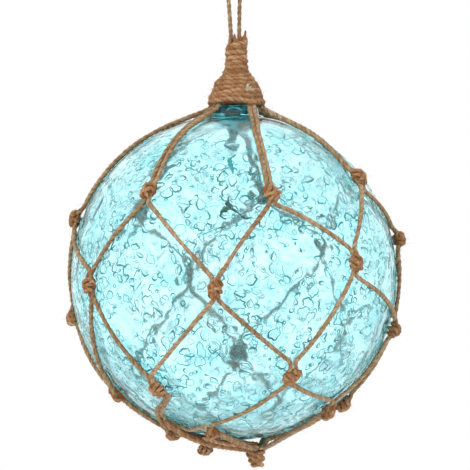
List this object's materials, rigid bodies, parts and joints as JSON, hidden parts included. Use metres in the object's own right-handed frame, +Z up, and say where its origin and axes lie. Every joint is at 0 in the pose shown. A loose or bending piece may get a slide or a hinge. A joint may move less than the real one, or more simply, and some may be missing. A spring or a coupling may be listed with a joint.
{
  "type": "glass float ball in a rope net",
  "caption": "Hollow blown glass ball with a crackled skin, held in a knotted twine net that gathers into a wound collar and a hanging loop.",
  "frame": {"origin": "inside of the hanging loop's crown, where a hook carries it", "axes": "+Z up along the hanging line, -Y towards the viewer's front, +X to the viewer's right"},
  "size_m": [0.1564, 0.1573, 0.24],
  "materials": {
    "aqua_glass": "clear aqua blown glass with a pebbled crackle outside",
    "jute_twine": "twisted natural jute, matt and hairy"
  },
  "bodies": {
    "root": {"glass_ball": "aqua_glass", "rope_collar": "jute_twine", "net_twine_1_left": "jute_twine", "net_twine_1_right": "jute_twine", "net_twine_2_left": "jute_twine", "net_twine_2_right": "jute_twine", "net_twine_3_left": "jute_twine", "net_twine_3_right": "jute_twine", "net_twine_4_left": "jute_twine", "net_twine_4_right": "jute_twine", "net_twine_5_left": "jute_twine", "net_twine_5_right": "jute_twine", "net_twine_6_left": "jute_twine", "net_twine_6_right": "jute_twine", "net_twine_7_left": "jute_twine", "net_twine_7_right": "jute_twine", "bottom_knot": "jute_twine", "hanging_loop": "jute_twine"}
  },
  "joints": []
}
